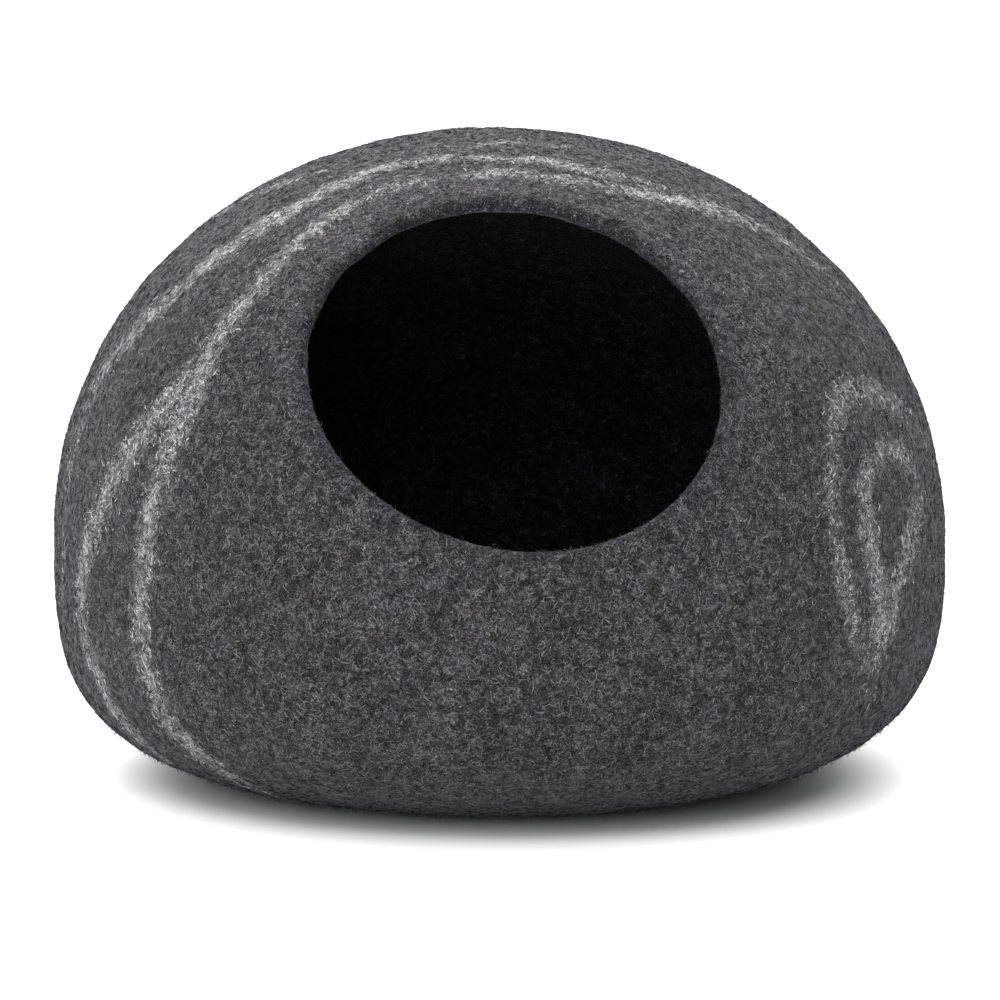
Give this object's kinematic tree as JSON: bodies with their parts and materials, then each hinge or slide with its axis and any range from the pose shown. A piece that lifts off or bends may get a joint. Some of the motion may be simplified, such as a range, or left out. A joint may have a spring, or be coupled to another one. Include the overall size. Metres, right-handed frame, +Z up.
{
  "type": "felt cat cave",
  "caption": "Hollow, egg-shaped pet bed of thick seamless wool felt, with a round tilted mouth in front and a flat spot underneath to rest on.",
  "frame": {"origin": "on the floor, under the middle of the cave's bounding box", "axes": "+Z up, -Y towards the side that the mouth looks to, +X to the right as seen from the front"},
  "size_m": [0.5016, 0.5036, 0.3611],
  "materials": {
    "grey_wool_felt": "matt heathered charcoal grey wool felt with soft light grey bands felted into its face"
  },
  "bodies": {
    "root": {"felt_shell": "grey_wool_felt"}
  },
  "joints": []
}
